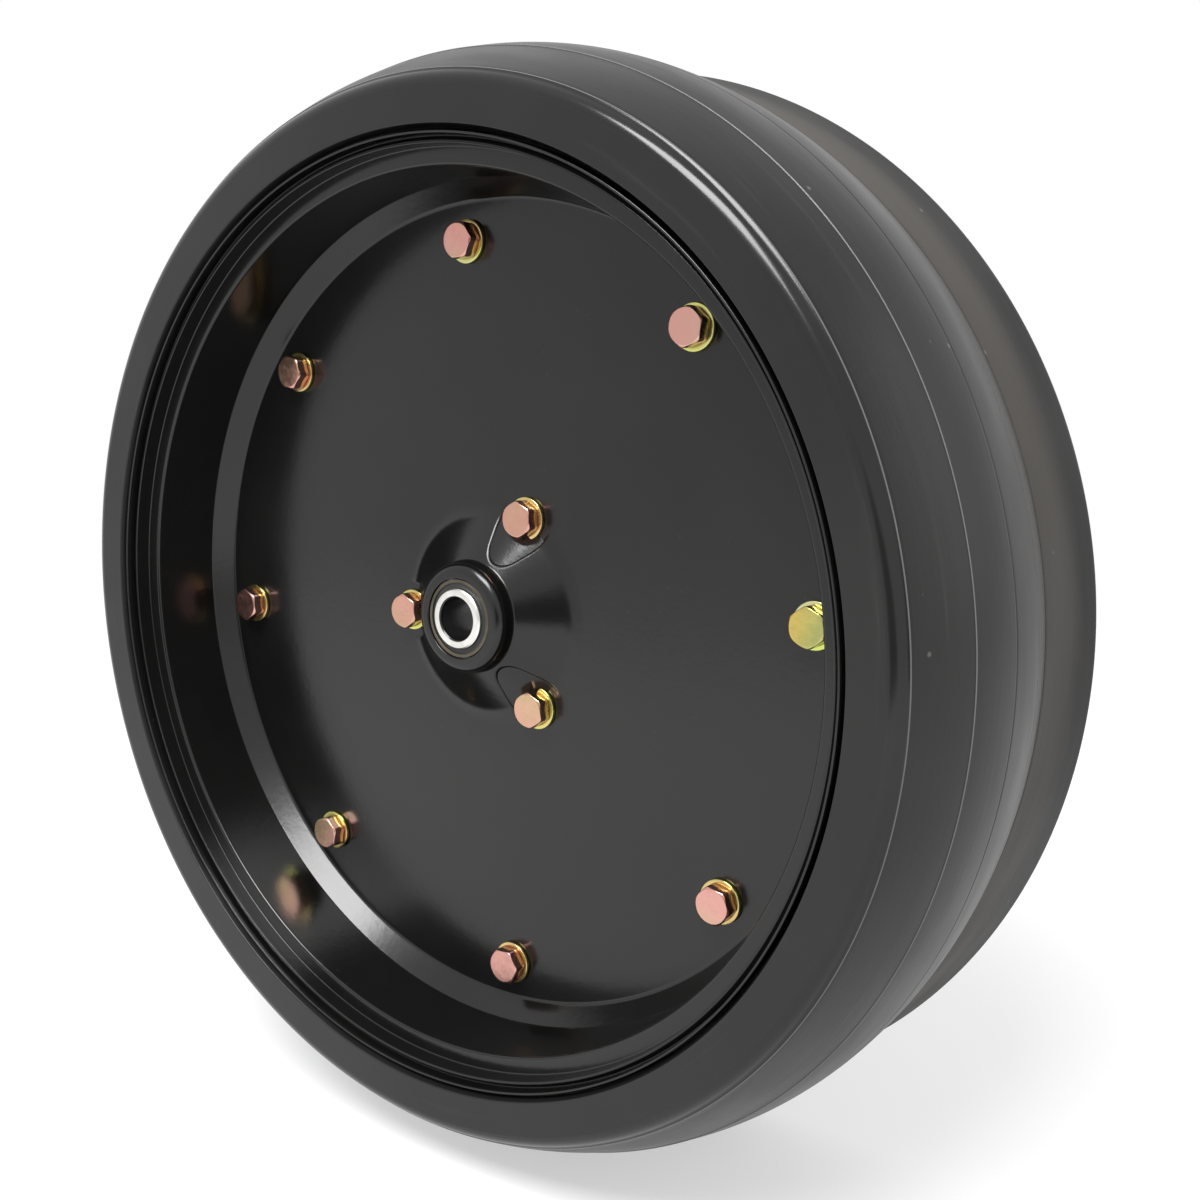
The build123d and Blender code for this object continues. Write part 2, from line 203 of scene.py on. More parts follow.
class Net:
    """Short calls that add nodes to a tree and link them."""

    def __init__(self, tree):
        self.tree = tree

    def put(self, socket, value):
        if isinstance(value, bpy.types.NodeSocket):
            self.tree.links.new(value, socket)
        elif value is not None:
            socket.default_value = value

    def math(self, operation, a, b=None):
        node = self.tree.nodes.new("ShaderNodeMath")
        node.operation = operation
        for socket, value in zip(node.inputs, (a, b)):
            self.put(socket, value)
        return node.outputs[0]

    def noise(self, vector, scale, detail=3.0, rough=0.55, distortion=0.0):
        node = self.tree.nodes.new("ShaderNodeTexNoise")
        for label, value in (("Vector", vector), ("Scale", scale), ("Detail", detail),
                             ("Roughness", rough), ("Distortion", distortion)):
            self.put(node.inputs[label], value)
        return node.outputs[0]

    def cells(self, vector, scale):
        node = self.tree.nodes.new("ShaderNodeTexVoronoi")
        self.put(node.inputs["Vector"], vector)
        self.put(node.inputs["Scale"], scale)
        return node.outputs["Distance"]

    def ramp(self, value, low, high, to_low=0.0, to_high=1.0, smooth=True):
        node = self.tree.nodes.new("ShaderNodeMapRange")
        node.interpolation_type = "SMOOTHSTEP" if smooth else "LINEAR"
        for socket, item in zip(node.inputs, (value, low, high, to_low, to_high)):
            self.put(socket, item)
        return node.outputs[0]

    def mix(self, factor, a, b):
        node = self.tree.nodes.new("ShaderNodeMix")
        node.data_type = "RGBA"
        self.put(node.inputs[0], factor)
        self.put(node.inputs[6], a)
        self.put(node.inputs[7], b)
        return node.outputs[2]

    def split(self, vector):
        node = self.tree.nodes.new("ShaderNodeSeparateXYZ")
        self.put(node.inputs[0], vector)
        return node.outputs

    def join(self, x, y, z):
        node = self.tree.nodes.new("ShaderNodeCombineXYZ")
        for socket, value in zip(node.inputs, (x, y, z)):
            self.put(socket, value)
        return node.outputs[0]

    def bump(self, height, distance):
        node = self.tree.nodes.new("ShaderNodeBump")
        self.put(node.inputs["Height"], height)
        self.put(node.inputs["Distance"], distance)
        self.put(node.inputs["Strength"], 1.0)
        return node.outputs[0]

    def stretched(self, ring, scale, third):
        """The unit circle's point times a scale, with a third coordinate."""
        x, y, _ = self.split(ring)
        return self.join(self.math("MULTIPLY", x, scale), self.math("MULTIPLY", y, scale), third)


def material(name):
    """A material with its Principled shader, a net on its tree and the object's coordinates."""
    made = bpy.data.materials.new(name)
    made.use_nodes = True
    tree = made.node_tree
    shader = tree.nodes["Principled BSDF"]
    place = tree.nodes.new("ShaderNodeTexCoord").outputs["Object"]
    return made, shader.inputs, Net(tree), place


def use(net, tree, **values):
    """An instance of a node group with its inputs set, returned as its outputs."""
    node = net.tree.nodes.new("ShaderNodeGroup")
    node.node_tree = tree
    for label, value in values.items():
        net.put(node.inputs[label.replace("_", " ")], value)
    return node.outputs


def grey(value, warm=0.0):
    """Linear colour of a grey, slightly warm if asked."""
    return (value * (1 + warm), value, value * (1 - warm), 1.0)


# Shared coordinates: the angle round the axle and the radius
around, around_in, around_out = group("around_axle", [("Place", "v")],
                                      [("Radius", "f"), ("Along", "f"), ("Ring", "v")])
net = Net(around)
x, y, z = net.split(around_in["Place"])
radius = net.math("SQRT", net.math("ADD", net.math("MULTIPLY", x, x), net.math("MULTIPLY", z, z)))
net.put(around_out["Radius"], radius)
net.put(around_out["Along"], y)
unit = net.math("MAXIMUM", radius, 0.001)
net.put(around_out["Ring"], net.join(net.math("DIVIDE", x, unit), net.math("DIVIDE", z, unit), 0.0))


def rubber():
    """Moulded rubber: grain, long soft streaks round the tread, dust and scuffs."""
    made, shader, net, place = material("tyre_rubber")
    turned = use(net, around, Place=place)
    along = turned["Along"]
    outline = net.math("MULTIPLY", net.math("ADD", along, turned["Radius"]), 220.0)
    streaks = net.noise(net.stretched(turned["Ring"], 1.6, outline), 1.0, 4.0, 0.6)
    wide_place = net.stretched(turned["Ring"], 2.2, net.math("MULTIPLY", along, 38.0))
    wide = net.noise(wide_place, 1.0, 3.0, 0.55)
    clouds = net.noise(place, 9.0, 4.0, 0.6)
    grain = net.noise(place, 1400.0, 2.0, 0.5)
    # the crown's slope carries a painted sheen: a pale band, strongest just before the crease and
    # varied by the streaks
    sheen_band = net.math("MULTIPLY", net.ramp(along, 0.020, 0.036), net.ramp(along, 0.0392, 0.0386))
    painted_sheen = net.math("MULTIPLY", sheen_band, net.ramp(streaks, 0.3, 0.7, 0.55, 1.0))
    colour = net.mix(net.ramp(clouds, 0.35, 0.7), grey(0.006), grey(0.010, 0.02))
    colour = net.mix(net.math("MULTIPLY", painted_sheen, 0.55), colour, (0.105, 0.092, 0.084, 1))
    colour = net.mix(net.ramp(streaks, 0.58, 0.8, 0.0, 0.35), colour, grey(0.045, 0.03))
    # the flared lip is dull and brownish
    flare = net.ramp(along, 0.0388, 0.0400)
    dull = net.math("MULTIPLY", flare, net.ramp(along, 0.064, 0.050))
    colour = net.mix(dull, colour, (0.040, 0.035, 0.031, 1))
    # the raised lines are painted pale; on the shoulder's edge line this is a painted highlight
    first_line_y = y_at(MOULD_LINES[0][0])
    for at, share, half in ((first_line_y, 0.6, 0.00030), (EDGE_LINE_Y, 0.5, 0.00032)):
        off = net.math("ABSOLUTE", net.math("SUBTRACT", along, at * MM))
        pale_line = net.math("MULTIPLY", net.ramp(off, half, half * 0.4), share)
        colour = net.mix(pale_line, colour, grey(0.22))
    # scuffs from handling: short bright ticks
    tick_place = net.stretched(turned["Ring"], 9.0, net.math("MULTIPLY", along, 60.0))
    tick = net.ramp(net.cells(tick_place, 1.0), 0.05, 0.02)
    colour = net.mix(net.math("MULTIPLY", tick, 0.5), colour, grey(0.16, 0.03))
    net.put(shader["Base Color"], colour)
    rough = net.ramp(wide, 0.3, 0.7, 0.26, 0.38)
    rough = net.math("ADD", rough, net.math("MULTIPLY", streaks, 0.08))
    rough = net.math("ADD", rough, net.math("MULTIPLY", flare, 0.22))
    # the shoulder's round is smoother than the rest
    polished = net.math("MULTIPLY", net.ramp(along, -0.0335, -0.0342),
                        net.ramp(turned["Radius"], 0.1805, 0.1818))
    net.put(shader["Roughness"], net.math("SUBTRACT", rough, net.math("MULTIPLY", polished, 0.16)))
    height = net.math("ADD", net.math("MULTIPLY", grain, 0.35), net.math("MULTIPLY", streaks, 0.9))
    height = net.math("MULTIPLY", height, net.ramp(polished, 0.0, 1.0, 1.0, 0.25))
    net.put(shader["Normal"], net.bump(height, 0.00007))
    shader["Specular IOR Level"].default_value = 0.38
    return made


def paint():
    """Black powder coat: faint orange peel, a soft random tone and specks of dust."""
    made, shader, net, place = material("black_paint")
    peel = net.noise(place, 420.0, 2.0, 0.5)
    soft = net.noise(place, 16.0, 4.0, 0.6)
    specks = net.ramp(net.cells(place, 230.0), 0.10, 0.05)
    dust = net.math("MULTIPLY", specks, net.ramp(net.noise(place, 24.0), 0.5, 0.65))
    colour = net.mix(net.ramp(soft, 0.3, 0.7), grey(0.0038), grey(0.0056, 0.04))
    colour = net.mix(net.math("MULTIPLY", dust, 0.3), colour, grey(0.06, 0.04))
    net.put(shader["Base Color"], colour)
    shader["Specular IOR Level"].default_value = 0.45
    net.put(shader["Roughness"], net.ramp(soft, 0.3, 0.7, 0.17, 0.22))
    net.put(shader["Normal"], net.bump(peel, 0.00003))
    return made


TINT_PLACES = 0.30, 0.42, 0.50, 0.58, 0.68, 0.80


def zinc(name, tints):
    """Yellow zinc plating, with interference tints that drift from piece to piece."""
    made, shader, net, place = material(name)
    drift = net.noise(place, 13.0, 1.0, 0.5, 0.4)
    fine = net.noise(place, 260.0, 3.0, 0.6)
    mottle = net.math("MULTIPLY", net.math("SUBTRACT", fine, 0.5), 0.10)
    ramp = net.tree.nodes.new("ShaderNodeValToRGB")
    net.put(ramp.inputs[0], net.math("ADD", drift, mottle))
    while len(ramp.color_ramp.elements) < len(tints):
        ramp.color_ramp.elements.new(0.5)
    for element, at, colour in zip(ramp.color_ramp.elements, TINT_PLACES, tints):
        element.position, element.color = at, (*colour, 1)
    net.put(shader["Base Color"], ramp.outputs[0])
    shader["Metallic"].default_value = 1.0
    net.put(shader["Roughness"], net.ramp(fine, 0.3, 0.7, 0.16, 0.28))
    net.put(shader["Normal"], net.bump(fine, 0.00005))
    return made


def turned_steel(name, colour_a, colour_b, rough_low, rough_high):
    """Ground or drawn steel: fine rings from the tool and a slight stain. The bore is painted dark
    and not metallic: painted shade inside the hole."""
    made, shader, net, place = material(name)
    turned = use(net, around, Place=place)
    rings = net.noise(net.join(0.0, net.math("MULTIPLY", turned["Along"], 6000.0),
                               net.math("MULTIPLY", turned["Radius"], 6000.0)), 1.0, 2.0)
    stain = net.noise(place, 120.0, 3.0, 0.6)
    colour = net.mix(net.ramp(stain, 0.35, 0.7), colour_a, colour_b)
    # painted shade: inside the bore the surface is dark and not metallic
    bore_shade = net.ramp(turned["Radius"], 0.00850, 0.00838)
    net.put(shader["Base Color"], net.mix(bore_shade, colour, grey(0.006)))
    net.put(shader["Metallic"], net.math("SUBTRACT", 1.0, bore_shade))
    net.put(shader["Roughness"], net.ramp(rings, 0.3, 0.7, rough_low, rough_high))
    net.put(shader["Normal"], net.bump(rings, 0.00001))
    return made


def moulded(name, colour_a, colour_b, rough):
    """Plain moulded rubber or nylon with a fine grain."""
    made, shader, net, place = material(name)
    grain = net.noise(place, 900.0, 2.0)
    stain = net.noise(place, 90.0, 3.0)
    net.put(shader["Base Color"], net.mix(net.ramp(stain, 0.3, 0.7), colour_a, colour_b))
    net.put(shader["Roughness"], net.ramp(grain, 0.3, 0.7, rough - 0.06, rough + 0.06))
    net.put(shader["Normal"], net.bump(grain, 0.00003))
    return made


rubber_mat, paint_mat = rubber(), paint()
head_zinc = zinc("yellow_zinc", [(0.46, 0.42, 0.17), (0.60, 0.33, 0.28), (0.62, 0.30, 0.26),
                                 (0.56, 0.36, 0.24), (0.38, 0.40, 0.14), (0.60, 0.44, 0.12)])
washer_zinc = zinc("green_zinc", [(0.62, 0.60, 0.30), (0.55, 0.55, 0.16), (0.60, 0.42, 0.20),
                                  (0.58, 0.56, 0.18), (0.50, 0.56, 0.14), (0.66, 0.62, 0.36)])
steel_mat = turned_steel("bearing_steel", (0.80, 0.79, 0.76, 1), (0.68, 0.66, 0.62, 1), 0.16, 0.32)
shield_mat = turned_steel("shield_steel", (0.14, 0.12, 0.09, 1), (0.09, 0.08, 0.06, 1), 0.3, 0.45)
seal_mat = moulded("seal_rubber", grey(0.012), grey(0.02), 0.5)
nylon_mat = moulded("cage_nylon", (0.55, 0.48, 0.36, 1), (0.48, 0.42, 0.31, 1), 0.45)


# Tyre
def tyre_section():
    """Section of the tyre, with mould lines on the tread and a sharp crease before the lip. A line
    adds height times exp(-((y - place) / width)^2) to the radius."""
    t = TYRE
    shoulder_r, rise, run = t["shoulder"]
    top = (shoulder_r + rise, FRONT_Y + run)
    crown = (t["crown"][0], y_at(t["crown"][1]))
    valley = (t["valley"][0], y_at(t["valley"][1]))
    back = y_at(t["back"])
    # the flare touches the lip's round at this angle
    round_at = (t["lip_r"] - t["lip_round"], back - t["lip_round"])
    away = hypot(valley[0] - round_at[0], valley[1] - round_at[1])
    angle = atan2(valley[1] - round_at[1], valley[0] - round_at[0]) + acos(t["lip_round"] / away)
    mouth = [(EYE_MOUTH_R, FRONT_Y), (t["eye_r"], y_at(EYE_MOUTH_DEPTH))]
    clamped_r, gap = STEP_R + SHEET + t["gap"], t["gap"]
    seat = [(t["eye_r"], y_at(FOLD_DEPTH + gap)), (clamped_r, y_at(FOLD_DEPTH + gap)),
            (clamped_r, y_at(STEP_DEPTH + SHEET + gap)),
            (t["base_r"], y_at(STEP_DEPTH + SHEET + gap))]
    rear_seat = [(r, BOTH_SIDES - y) for r, y in seat]
    dense = np.vstack([bezier(top, (crown[0], (top[1] + crown[1]) / 2), crown, 900),
                       bezier(crown, (crown[0], (crown[1] + valley[1]) / 2), valley, 500)])
    first_y = top[1] + 1.4
    ys = [np.linspace(first_y, valley[1], 110)[:-1]]
    ys += [y_at(at) + wide * np.linspace(-2.4, 2.4, 17) for at, _, wide in MOULD_LINES]
    ys = np.unique(np.round(np.concatenate(ys), 4))
    rs = np.interp(ys, dense[:, 1], dense[:, 0])
    for at, high, wide in MOULD_LINES:
        rs += high * np.exp(-((ys - y_at(at)) / wide) ** 2)
    corner = rounded([(shoulder_r - 9, FRONT_Y), (SHOULDER_START, FRONT_Y), top, (rs[0], ys[0])],
                     [0, SHOULDER_ROUND, 0.6, 0], 4.0)[1:-1]
    # a thin raised line runs along the outer edge of the shoulder
    edge = np.array([(top[0] - 0.9, top[1] - 0.82), (top[0] - 0.52, top[1] - 0.74),
                     (top[0] - 0.30, top[1] - 0.48), (top[0] - 0.22, top[1] - 0.16)])
    keep = corner[:, 1] < top[1] - 1.0
    turned_over = corner[:, 1] > top[1] - 0.12
    tread = np.vstack([corner[keep], edge, corner[turned_over], np.stack([rs, ys], 1)])
    crease = np.array([(valley[0] - 0.05, valley[1] - 0.35), (valley[0] - 0.45, valley[1] + 0.05),
                       (valley[0] + 0.02, valley[1] + 0.45)])
    lip = np.array([(round_at[0] + t["lip_round"] * cos(a), round_at[1] + t["lip_round"] * sin(a))
                    for a in np.linspace(angle, pi / 2, 16)])
    valley = np.array(valley)
    flare = valley + (lip[0] - valley) * np.linspace(0.04, 0.98, 20)[:, None]
    back_r = t["lip_r"] - t["lip_round"]
    tail = rounded([(back_r, back), (back_r - t["lip_land"], back),
                    (back_r - t["lip_land"] - t["lip_step"], REAR_Y), (t["eye_r"], REAR_Y),
                    *rear_seat, *seat[::-1], *mouth[::-1], (EYE_MOUTH_R + 4, FRONT_Y)],
                   [0, 1.6, 1.6, t["eye_round"]] + [0.3, 0.3, 3.0, 1.5] + [1.5, 3.0, 0.3, 0.3]
                   + [0.3, 0.6, 0])[1:]
    return np.vstack([tread, crease, flare, lip, tail])


lathe("tyre_skin", tyre_section(), rubber_mat, "wheel", "tyre", 384)


# Steel halves
def rim_profile():
    """Corners and rounds of the side that shows, from the web to the hemmed edge, as (radius,
    depth): a bevel, whose depths each half sets, the wall, a step that faces forward, a short inner
    wall, and two thin folds with a groove between them."""
    return [((BEVEL_FOOT_R, None), 2.0), ((WALL_R, None), 1.0), ((WALL_R, STEP_DEPTH), 1.2),
            ((STEP_R, STEP_DEPTH), 0.5), ((STEP_R, GROOVE_DEPTH), 0.4),
            ((STEP_R + 0.9, GROOVE_DEPTH), 0.4), ((EDGE_R - 1.1, GROOVE_DEPTH + 1.6), 0.2),
            ((EDGE_R - 0.9, EDGE_DEPTH), 0.4), ((EDGE_R, EDGE_DEPTH), 0.4)]


def rim_back():
    """Corners and rounds of the hidden side, one sheet behind, from the edge to the wall."""
    return [((EDGE_R, FOLD_DEPTH), 0.3), ((STEP_R + SHEET, FOLD_DEPTH), 0.2),
            ((STEP_R + SHEET, STEP_DEPTH + SHEET), 3.4),
            ((WALL_R + SHEET, STEP_DEPTH + SHEET), 0.5)]


PLAIN_R = 62.0                      # outside this radius the web is plain
POCKET_R, POCKET_NOSE_R, POCKET_NOSE_AT = 11.0, 5.0, 32.0
POCKET_DIP, POCKET_EDGE, POCKET_DRAFT = 0.30, 1.5, radians(20)


def pockets(points):
    """Y of the hub's front surface round its bolts. A pocket has its floor at the web and walls
    that rise by 1 / tan 20 degrees of the distance outside its outline, the hull of a wide circle
    round the bolt and a narrow one nearer to the neck. The floor dips towards the neck. Returned
    with the lowest level that each point may have."""
    x, z = points[..., 0], points[..., 2]
    deepest, level = np.full(x.shape, -1e3), np.full(x.shape, WEB_Y)
    between = HUB_CIRCLE_R - POCKET_NOSE_AT
    lean = (POCKET_R - POCKET_NOSE_R) / between
    across = np.sqrt(1 - lean ** 2)
    length = between * across
    for k in range(HUB_BOLTS):
        a = radians(FIRST_ANGLE + 180 + 360 / HUB_BOLTS * k)
        u, w = x * cos(a) + z * sin(a), np.abs(-x * sin(a) + z * cos(a))
        side = (POCKET_NOSE_AT - u) * lean + w * across - POCKET_NOSE_R
        along = (u - POCKET_NOSE_AT) * across + w * lean
        round_nose = np.hypot(u - POCKET_NOSE_AT, w) - POCKET_NOSE_R
        round_seat = np.hypot(u - HUB_CIRCLE_R, w) - POCKET_R
        outside = np.where(along < 0, round_nose, np.where(along > length, round_seat, side))
        dip = POCKET_DIP * np.clip(HUB_CIRCLE_R - POCKET_R + 4 - u, 0, 7) * (outside < 6)
        deepest = np.maximum(deepest, WEB_Y + dip - np.maximum(outside, 0) / tan(POCKET_DRAFT))
        level = np.maximum(level, WEB_Y + dip)
    return deepest, level


def soft_max(a, b, k):
    """Smooth maximum of two heights, round over k."""
    h = np.clip(0.5 + 0.5 * (a - b) / k, 0, 1)
    return b + (a - b) * h + k * h * (1 - h)


def finer(points, low_r, high_r, step):
    """The points with each run between two radii cut into short steps."""
    made = [points[0]]
    for a, b in zip(points, points[1:]):
        if min(a[0], b[0]) >= low_r and max(a[0], b[0]) <= high_r:
            count = max(1, int(hypot(*(b - a)) / step))
            made += [a + (b - a) * k / count for k in range(1, count)]
        made.append(b)
    return np.array(made)


def front_half():
    """The front half: the turned section, with the pockets pressed into its cone."""
    rim = rim_profile()
    bevel_top = WEB_DEPTH - BEVEL_RISE
    depths = [WEB_DEPTH, bevel_top] + [corner[1] for corner, _ in rim[2:]]
    hub = [((OPENING_R, HUB_Y + SHEET), 0), ((OPENING_R, HUB_Y), 0.5), ((NECK_R, HUB_Y), 3.6),
           ((NECK_R, HUB_Y + NECK_HEIGHT), 1.5), ((CONE_FOOT_R, WEB_Y), CONE_FOOT_ROUND),
           ((PLAIN_R, WEB_Y), 0)]
    shown = hub + [((corner[0], y_at(depth)), turn) for (corner, turn), depth in zip(rim, depths)]
    behind = [((r, y_at(depth)), turn) for (r, depth), turn in rim_back()]
    behind += [((WALL_R + SHEET, y_at(bevel_top)), 4.0), ((BEVEL_BACK_R, SPLIT_Y), 5.0),
               ((43.0, SPLIT_Y), 2.0), ((22.0, HUB_Y + 9.0), 1.0),
               ((HOUSING_R, HUB_Y + 4.5), 0.5), ((HOUSING_R, HUB_Y + SHEET), 0.5)]
    corners, rounds = zip(*(shown + behind))
    section = finer(rounded(corners, list(rounds)), NECK_R - 0.1, PLAIN_R + 0.1, 0.55)
    segments = 432
    points = revolved(section, segments)
    radius, y = section[:, 0], section[:, 1]
    front = np.arange(len(section)) < np.argmax(radius > PLAIN_R + 1)
    hub = front & (radius > NECK_R - 0.1) & (y > HUB_Y + 6)
    region = points[hub]
    deepest, level = pockets(region)
    pressed = soft_max(region[..., 1], deepest, POCKET_EDGE)
    region[..., 1] = np.minimum(pressed, np.maximum(region[..., 1], level))
    points[hub] = region
    solid("front_half_skin", points.reshape(-1, 3), grid_faces(len(section), segments), paint_mat,
          "wheel", "front_half")


def rear_half():
    """The rear half: web behind the joint, wall, flange and bead, and the spigot at its middle."""
    rim = rim_profile()
    ys = [REAR_WEB_Y, REAR_WEB_Y + BEVEL_RISE]
    ys += [BOTH_SIDES - y_at(corner[1]) for corner, _ in rim[2:]]
    shown = [((corner[0], y), turn) for (corner, turn), y in zip(rim, ys)][::-1]
    outer = [((REAR_OPENING_R, SPIGOT_Y), 0.3), ((SPIGOT_R, SPIGOT_Y), 4.0),
             ((21.8, SPLIT_Y), 1.0), ((BEVEL_BACK_R, SPLIT_Y), 5.0),
             ((WALL_R + SHEET, SPLIT_Y + 9.0), 4.0)]
    outer += [((r, BOTH_SIDES - y_at(depth)), turn) for (r, depth), turn in rim_back()[::-1]]
    well_y = SPIGOT_Y + SHEET
    well = [((20.8, REAR_WEB_Y), 4.0), ((16.4, well_y), 1.0), ((REAR_OPENING_R, well_y), 0.3)]
    corners, rounds = zip(*(outer + shown + well))
    lathe("rear_half_skin", rounded(corners, list(rounds)), paint_mat, "wheel", "rear_half",
          384)


front_half()
rear_half()


# Fasteners
def hexagon_rows(height, flats, chamfer, segments=60):
    """Rows of a hex head from its seat up: r is the nearer of the hexagon, whose corners are
    slightly round, and the chamfer's cone."""
    a = np.arange(segments) * 2 * pi / segments
    near = (a + pi / 6) % (pi / 3) - pi / 6
    edge = 0.25
    hexagon = flats / 2 / np.cos(near)
    hexagon = hexagon - edge * np.exp(-((np.abs(near) - pi / 6) / 0.05) ** 2)
    rows = [(hexagon - (edge - h), np.full(segments, h)) for h in (0.0, edge)]
    rows.append((hexagon, np.full(segments, height * 0.45)))
    top = flats / 2 * 0.97
    for k in np.linspace(0, 1, 8):
        h = height - chamfer * (1 - k)
        cone = top + (height - h) * tan(radians(62))
        rows.append((np.minimum(hexagon, cone), np.full(segments, h)))
    # the top sinks a little towards its middle
    for r, sunk in ((top - edge, 0.0), (top * 0.55, 0.06), (0.01, 0.08)):
        rows.append((np.full(segments, r), np.full(segments, height - sunk)))
    return a, rows


def spots(count, radius, first):
    """Matrices that take local x outwards, local z along the axle, to places of a bolt circle."""
    made = []
    for k in range(count):
        a = radians(first) + 2 * pi * k / count
        out, along = np.array([cos(a), 0, sin(a)]), np.array([0.0, 1.0, 0.0])
        made.append((np.stack([out, np.cross(along, out), along], 1), out * radius))
    return made


RIM = spots(RIM_BOLTS, RIM_CIRCLE_R, FIRST_ANGLE)
HUB = spots(HUB_BOLTS, HUB_CIRCLE_R, FIRST_ANGLE + 180)


def shell(rows, flip=False):
    """Points and faces of an open stack of rows."""
    points = np.array(rows).reshape(-1, 3)
    faces = grid_faces(len(rows), len(rows[0]), closed=False)
    return points, faces[:, ::-1] if flip else faces


def placed(name, parts, places, material, replaces):
    """One mesh of the same fastener at every place."""
    all_points, all_faces, start = [], [], 0
    for turn, at in places:
        for points, faces in parts:
            all_points.append(points @ turn.T + at)
            all_faces.append(faces + start)
            start += len(points)
    points, faces = np.vstack(all_points), np.vstack(all_faces)
    solid(name, points, faces, material, "wheel", replaces)


def cylinder_rows(profile, segments=48):
    """Rows of a small lathe form about local z, from (radius, z) pairs."""
    a = np.arange(segments) * 2 * pi / segments
    return [np.stack([r * np.cos(a), r * np.sin(a), np.full(segments, float(h))], -1)
            for r, h in profile]


def bolt_parts():
    """Head in front of the washer, and a shank whose free end carries the thread: its radius is
    3.42 + 0.56 (0.5 + 0.5 cos(2 pi z / 1.25 - a)), and a cone of 0.9 mm ends it."""
    a, rows = hexagon_rows(HEAD_H, HEAD_FLATS, 0.9)
    seat = WEB_Y - WASHER_T
    tip = seat + BOLT_LENGTH
    head = [np.stack([r * np.cos(a), r * np.sin(a), seat - h], -1) for r, h in rows]
    head.insert(0, cylinder_rows([(BOLT_R, seat)], len(a))[0])
    segments = 40
    a = np.arange(segments) * 2 * pi / segments
    shank = []
    for z in [seat, *np.arange(WEB_Y + THREAD_START, tip - 0.01, THREAD_STEP), tip]:
        wave = 0.5 + 0.5 * np.cos(2 * pi * z / PITCH - a)
        r = np.where(z < WEB_Y + THREAD_START + 0.2, BOLT_R, 3.42 + 0.56 * wave)
        r = np.minimum(r, 3.2 + 0.78 * min(1.0, (tip - z) / 0.9))
        shank.append(np.stack([r * np.cos(a), r * np.sin(a), np.full(segments, z)], -1))
    shank.append(cylinder_rows([(0.01, tip)], segments)[0])
    return [shell(head), shell(shank, True)]


def washer_parts():
    """Flat washer with soft edges."""
    low, high = WEB_Y - WASHER_T, WEB_Y
    profile = [(4.3, high), (4.3, low + 0.15), (4.45, low), (7.7, low), (7.93, low + 0.1),
               (8.0, low + 0.35), (8.0, high - 0.3), (7.8, high), (4.3, high)]
    return [shell(cylinder_rows(profile, 64), True)]


def nut_parts():
    """Flange nut with a round collar, chamfered corners and a threaded bore."""
    seat, top = REAR_WEB_Y, REAR_WEB_Y + NUT_H
    a, rows = hexagon_rows(NUT_H, NUT_FLATS, 0.9)
    body = [np.stack([r * np.cos(a), r * np.sin(a), seat + h], -1) for r, h in rows[2:-3]]
    body.insert(0, cylinder_rows([(6.2, seat + 1.6)], len(a))[0])
    body += cylinder_rows([(5.9, top), (4.6, top - 0.05), (NUT_BORE_R, top - 0.6),
                           (NUT_BORE_R, seat + 0.1)], len(a))
    collar = cylinder_rows([(NUT_BORE_R, seat), (8.7, seat), (8.95, seat + 0.25), (8.9, seat + 0.9),
                            (8.5, seat + 1.3), (7.2, seat + 1.8), (6.0, seat + 2.1)], 72)
    return [shell(body, True), shell(collar, True)]


for where, places in (("rim", RIM), ("hub", HUB)):
    for kind, parts, zinc_mat in (("bolt", bolt_parts(), head_zinc),
                                  ("washer", washer_parts(), washer_zinc),
                                  ("nut", nut_parts(), washer_zinc)):
        placed(f"{where}_{kind}_skins", parts, places, zinc_mat, f"{where}_{kind}s")

# Bearing
CHAMFER_IN, CHAMFER_OUT = 0.5, 0.6
end = [(BORE_R, CHAMFER_IN - RING_Y), (BORE_R + CHAMFER_IN, -RING_Y),
       (RING_R - CHAMFER_OUT, -RING_Y), (RING_R, CHAMFER_OUT - RING_Y)]
inner_ring = rounded(end + [(r, -y) for r, y in end[::-1]], 0.12, 20.0, 0.1)
lathe("inner_ring_skin", inner_ring, steel_mat, "hub_core", "bearing_inner_ring",
      160)
DISC_Y, GROOVE_Y = -11.4, -8.8
disc_back_y, groove_back_y = DISC_Y + SEAL_T, GROOVE_Y + SEAL_T
front_seal = rounded(
    [(SLEEVE_R, DISC_Y), (SLEEVE_R, GROOVE_Y), (15.28, GROOVE_Y), (15.28, groove_back_y),
     (SLEEVE_R - SEAL_T, groove_back_y), (SLEEVE_R - SEAL_T, disc_back_y), (11.9, disc_back_y),
     (11.28, disc_back_y - 0.4), (11.28, DISC_Y - 0.4), (11.9, DISC_Y)], 0.12, 20.0, 0.1)
lathe("front_seal_skin", front_seal, seal_mat, "wheel", "front_seal", 160)
shield_y = DISC_Y - 0.5
front_shield = rounded([(SHIELD_IN_R, DISC_Y), (SHIELD_IN_R, shield_y), (SLEEVE_R, shield_y),
                        (SLEEVE_R, DISC_Y)], 0.1, 20.0, 0.1)
lathe("front_shield_skin", front_shield, shield_mat, "wheel", "front_shield", 160)

for node, mat in (("bearing_outer_ring", steel_mat), ("front_balls", steel_mat),
                  ("rear_balls", steel_mat), ("front_cage", nylon_mat), ("rear_cage", nylon_mat),
                  ("rear_seal", seal_mat), ("rear_shield", shield_mat)):
    mesh = nodes[node].data
    mesh.materials.clear()
    mesh.materials.append(mat)
    mesh.polygons.foreach_set("use_smooth", [True] * len(mesh.polygons))


# Stage
def stage_material(name, colour):
    """A pale matt surface. Camera, glossy and transmission rays see it lighter by a share, which
    leaves it white where it is lit and keeps the object's shadow."""
    made = bpy.data.materials.new(name)
    made.use_nodes = True
    shader = made.node_tree.nodes["Principled BSDF"].inputs
    shader["Base Color"].default_value = colour
    shader["Roughness"].default_value = 0.9
    shader["Emission Color"].default_value = (1, 1, 1, 1)
    net = Net(made.node_tree)
    net.put(shader["Emission Strength"], net.math("MULTIPLY", white_rays(net), 0.5))
    return made


